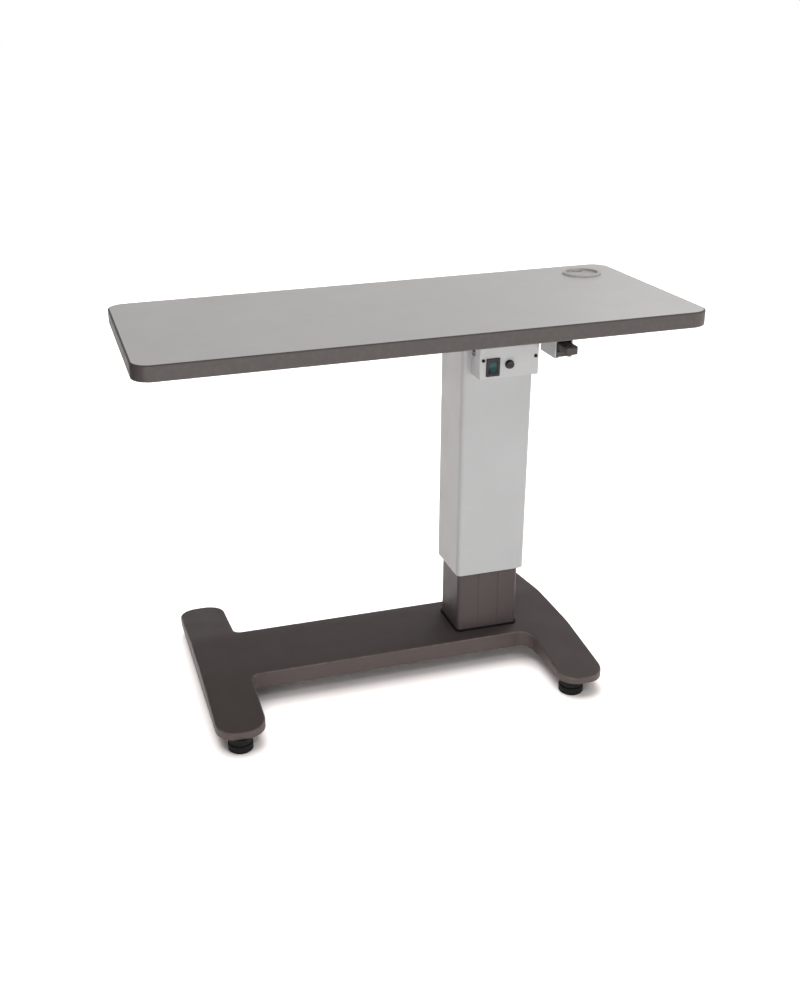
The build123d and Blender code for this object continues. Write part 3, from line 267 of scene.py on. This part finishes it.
def metal(name, colour, gloss, brushed=None, spangle=0.0):
    """Bare or plated metal; brushed is the stretch of its grain, spangle the share of zinc crystals."""
    n = Nodes(name)
    grain = n.noise(1.5 * MM, 3, 0.6, stretch=brushed)
    base = n.mix(n.spread(grain, 0, 1), tint(colour, 0.88), tint(colour, 1.06))
    if spangle:
        crystal = n.ranged(n.cells(7 * MM)["Color"], 0.2, 0.8, 0, 1)
        base = n.mix(n.times(crystal, spangle), base, tint(colour, 0.72))
    base = n.mix(n.times(n.edges(0.4 * MM), 0.4), base, tint(colour, 1.35))
    n.set("Base Color", base)
    n.set("Metallic", 1.0)
    n.set("Roughness", n.spread(n.noise(4 * MM, 4, stretch=brushed), gloss - 0.06, gloss + 0.1))
    n.bump(grain, 0.01 * MM, 0.5)
    return n.material


def particle_board():
    """Pressed wood chips, seen only inside the grommet's hole and the screw holes."""
    n = Nodes("particle_board")
    chips = n.cells(3 * MM, stretch=(1, 1, 2.4))["Color"]
    share = n.ranged(chips, 0.1, 0.9, 0, 1)
    n.set("Base Color", n.mix(share, srgb(150, 112, 72), srgb(206, 172, 122)))
    n.set("Roughness", n.spread(n.noise(1.2 * MM, 3), 0.7, 0.95))
    n.bump(n.times(n.noise(1.2 * MM, 4), share), 0.3 * MM, 0.8)
    return n.material


def tinted_lens():
    """Dark green see-through key of the mains switch: moulded prisms below its skin, and painted shade
    that turns it near black towards its rim.
    """
    n = Nodes("tinted_lens")
    prisms = n.tree.nodes.new("ShaderNodeTexWave")
    prisms.wave_type = "BANDS"
    prisms.bands_direction = "Z"
    prisms.inputs["Scale"].default_value = 240.0
    n.link(n.place, prisms.inputs["Vector"])
    cloud = n.ranged(n.noise(4 * MM, 3), 0.35, 0.65, 0, 1)
    base = n.mix(cloud, srgb(6, 52, 56), srgb(10, 66, 70))
    base = n.mix(n.times(prisms.outputs["Fac"], 0.3), base, srgb(22, 92, 96))
    # Painted shade: the key turns near black towards its rim, leaving only a lit teal middle.
    n.set("Base Color", n.mix(n.outside_middle(0.26, 0.46), base, srgb(20, 22, 22)))
    n.set("Roughness", n.spread(n.noise(3 * MM, 3), 0.28, 0.4))
    n.bump(n.noise(2 * MM, 2), 0.02 * MM, 0.4)
    return n.material


def clear_glass():
    """Thin clear glass of the fuse."""
    n = Nodes("fuse_tube")
    n.set("Base Color", n.mix(n.noise(3 * MM), srgb(214, 222, 222), srgb(236, 240, 240)))
    n.set("Roughness", n.spread(n.noise(2 * MM), 0.04, 0.12))
    n.set("Transmission Weight", 0.6)
    n.bump(n.noise(4 * MM), 0.01 * MM, 0.3)
    return n.material


def circuit_board():
    """Green lacquer with copper tracks showing through as slightly lighter lines."""
    n = Nodes("circuit_lacquer")
    track = n.ranged(n.cells(3.5 * MM, "DISTANCE_TO_EDGE")["Distance"], 0.05, 0.12, 1, 0)
    n.set("Base Color", n.mix(track, srgb(14, 74, 44), srgb(38, 112, 66)))
    n.set("Roughness", n.spread(n.noise(5 * MM), 0.25, 0.4))
    n.bump(track, 0.04 * MM, 0.7)
    return n.material


def cast_base_paint():
    """The base's coarser, duller paint, with a painted highlight along its rounded upper edges."""
    dark_grey = srgb(77, 68, 66)
    coarse = 1.6 * MM
    return powder_coat("base_dark_grey", dark_grey, 0.54, peel=coarse, wear_and_highlight_tint=2.4, shine=0.3, rounded=True)


def finishes():
    """A finished material for each slot that the record names, one for the lever and one for the feet."""
    foot_black = srgb(9, 9, 9)
    return {
        "laminate_grey": laminate("top_laminate_grey", srgb(203, 200, 198)),
        "backing_grey": laminate("backing_laminate_grey", srgb(120, 116, 114)),
        "edge_grey": moulded("edge_band_grey", srgb(74, 69, 67), gloss=0.5, grain=0.8 * MM),
        "board": particle_board(),
        "grommet_grey": moulded("grommet_grey", srgb(184, 181, 179), gloss=0.4),
        "zinc_steel": metal("zinc_plated", srgb(190, 192, 196), gloss=0.34, spangle=0.35),
        "column_paint": powder_coat("column_light_grey", srgb(168, 170, 171), gloss=0.46, wear_and_highlight_tint=1.12),
        "panel_paint": powder_coat("panel_light_grey", srgb(177, 179, 180), gloss=0.44, wear_and_highlight_tint=1.1),
        "inner_paint": powder_coat("inner_column_grey", srgb(75, 68, 67), gloss=0.5, shine=0.25),
        "base_paint": cast_base_paint(),
        "rubber": rubber("foot_rubber", foot_black),
        "black_plastic": moulded("black_plastic", srgb(22, 22, 23), gloss=0.4),
        "lever_grey": moulded("lever_dark_grey", srgb(60, 53, 52), gloss=0.42),
        "foot_black": rubber("foot_collar_black", foot_black),
        "black_screw": metal("black_oxide", srgb(40, 40, 42), gloss=0.36),
        "acetal": moulded("white_acetal", srgb(205, 203, 196), gloss=0.34),
        "motor_steel": powder_coat("black_coated_steel", srgb(42, 41, 42), gloss=0.42),
        "gearbox_metal": metal("die_cast_zinc", srgb(160, 160, 162), gloss=0.46, spangle=0.2),
        "bright_steel": metal("ground_steel", srgb(200, 200, 203), gloss=0.22, brushed=(10, 10, 1)),
        "brass": metal("turned_brass", srgb(196, 160, 88), gloss=0.26, brushed=(1, 1, 14)),
        "rocker_green": tinted_lens(),
        "fuse_glass": clear_glass(),
        "circuit_green": circuit_board(),
    }


def finish_name(row):
    """The finish of a node, which is its slot's except on the lever and on the collars of the feet."""
    if row["node"] in ("lever_paddle", "lever_housing"):
        return "lever_grey"
    if row["node"].startswith("foot_stud"):
        return "foot_black"
    return row["material_slot"]


def dress(made):
    """Gives every CAD node its finish."""
    for row in frame["record"]["subparts"]:
        slots = frame["nodes"][row["node"]].data.materials
        slots.clear()
        slots.append(made[finish_name(row)])


# ---- studio ----
def card(name, corners, material):
    """Flat four-cornered piece of the studio."""
    mesh = bpy.data.meshes.new(name)
    mesh.from_pydata(corners, [], [(0, 1, 2, 3)])
    mesh.materials.append(material)
    plane = bpy.data.objects.new(name, mesh)
    bpy.context.scene.collection.objects.link(plane)
    return plane


def floor_finish():
    """Pale floor that glows white far out and can be looked through from below."""
    n = Nodes("studio_floor")
    n.set("Base Color", n.mix(n.noise(0.8), (0.95, 0.90, 0.88, 1), (0.96, 0.91, 0.89, 1)))
    n.set("Roughness", 0.9)
    n.set("Specular IOR Level", 0.1)
    distance = n.tree.nodes.new("ShaderNodeVectorMath")
    distance.operation = "LENGTH"
    n.link(n.place, distance.inputs[0])
    n.set("Emission Color", WHITE)
    n.set("Emission Strength", n.ranged(distance.outputs["Value"], FADE_START, FADE_END, 0.0, FADE_GLOW))
    clear = n.tree.nodes.new("ShaderNodeBsdfTransparent")
    choice = n.tree.nodes.new("ShaderNodeMixShader")
    geometry = n.tree.nodes.new("ShaderNodeNewGeometry")
    output = n.tree.nodes["Material Output"]
    n.link(geometry.outputs["Backfacing"], choice.inputs[0])
    n.link(n.shader.outputs[0], choice.inputs[1])
    n.link(clear.outputs[0], choice.inputs[2])
    n.link(choice.outputs[0], output.inputs["Surface"])
    return n.material


def floor():
    """Floor that runs out far beyond the picture."""
    half = FLOOR_HALF
    corners = [(-half, -half, 0), (half, -half, 0), (half, half, 0), (-half, half, 0)]
    return card("studio_floor", corners, floor_finish())


def flag():
    """Black card that shades the table's left sides and that the camera doesn't see."""
    foot = [(FLAG_X, FLAG_FRONT, 0), (FLAG_X, FLAG_BACK, 0)]
    head = [(FLAG_X, FLAG_BACK, FLAG_HEIGHT), (FLAG_X, FLAG_FRONT, FLAG_HEIGHT)]
    black_cloth = rubber("studio_flag_cloth", srgb(12, 12, 12))
    card("studio_flag", foot + head, black_cloth).visible_camera = False


def walls():
    """White walls that turn into a dimmer ceiling."""
    world = bpy.data.worlds.new("white_studio")
    world.use_nodes = True
    tree = world.node_tree
    background = tree.nodes["Background"]
    direction = tree.nodes.new("ShaderNodeTexCoord").outputs["Generated"]
    parts = tree.nodes.new("ShaderNodeSeparateXYZ")
    tree.links.new(direction, parts.inputs[0])
    fade = tree.nodes.new("ShaderNodeMapRange")
    tree.links.new(parts.outputs["Z"], fade.inputs["Value"])
    fade.inputs["From Min"].default_value = math.sin(math.radians(WALL_TOP))
    fade.inputs["From Max"].default_value = math.sin(math.radians(CEILING_START))
    fade.inputs["To Min"].default_value = 1.0
    fade.inputs["To Max"].default_value = CEILING_STRENGTH
    tree.links.new(fade.outputs["Result"], background.inputs["Strength"])
    background.inputs["Color"].default_value = WHITE
    bpy.context.scene.world = world


def softbox(name, place, aim, size, power):
    """Rectangular area light at place, facing aim; gives the lamp back."""
    light = bpy.data.lights.new(name, "AREA")
    light.shape = "RECTANGLE"
    light.size, light.size_y = size
    light.energy = power
    lamp = bpy.data.objects.new(name, light)
    lamp.location = place
    lamp.rotation_mode = "QUATERNION"
    lamp.rotation_quaternion = (Vector(place) - Vector(aim)).to_track_quat("Z", "Y")
    bpy.context.scene.collection.objects.link(lamp)
    return lamp


def floor_light(floor_plane):
    """Overhead light for the floor alone, shaded only by the base and its feet."""
    lamp = softbox("floor_softbox", place=(-0.3, 1.5, 3.8), aim=(0, 0, 0), size=(4.0, 4.0), power=300)
    lit = bpy.data.collections.new("lit_floor")
    lit.objects.link(floor_plane)
    shading = bpy.data.collections.new("floor_shading")
    for name, node in frame["nodes"].items():
        if name == "base_casting" or name.startswith("foot_"):
            shading.objects.link(node)
    lamp.light_linking.receiver_collection = lit
    lamp.light_linking.blocker_collection = shading


def studio(floor_plane):
    """Walls, lights and flag around the table."""
    bpy.context.scene.view_settings.view_transform = "Standard"
    walls()
    middle = (0, 0, 0.4)
    softbox("key_softbox", place=(-1.5, -2.6, 1.0), aim=middle, size=(1.4, 1.4), power=18)
    softbox("top_softbox", place=(1.6, 1.2, 2.2), aim=middle, size=(1.6, 1.6), power=15)
    softbox("strip_softbox", place=(0.3, -1.6, 2.4), aim=middle, size=(1.8, 0.4), power=6)
    floor_light(floor_plane)
    flag()


def camera():
    """Camera that sees the table as the photograph does."""
    yaw, pitch, roll = math.radians(CAMERA_YAW), math.radians(CAMERA_PITCH), math.radians(CAMERA_ROLL)
    forward = Vector((math.sin(yaw) * math.cos(pitch), math.cos(yaw) * math.cos(pitch), -math.sin(pitch)))
    level = Vector((math.cos(yaw), -math.sin(yaw), 0))
    upright = level.cross(forward)
    right = math.cos(roll) * level + math.sin(roll) * upright
    up = -math.sin(roll) * level + math.cos(roll) * upright
    turn = Matrix((right, up, -forward)).transposed()
    data = bpy.data.cameras.new("camera")
    data.lens = CAMERA_LENS
    data.shift_x, data.shift_y = CAMERA_SHIFT
    view = bpy.data.objects.new("camera", data)
    view.matrix_world = Matrix.Translation(CAMERA_PLACE) @ turn.to_4x4()
    bpy.context.scene.collection.objects.link(view)
    bpy.context.scene.camera = view


camera()
studio(floor())
dress(finishes())
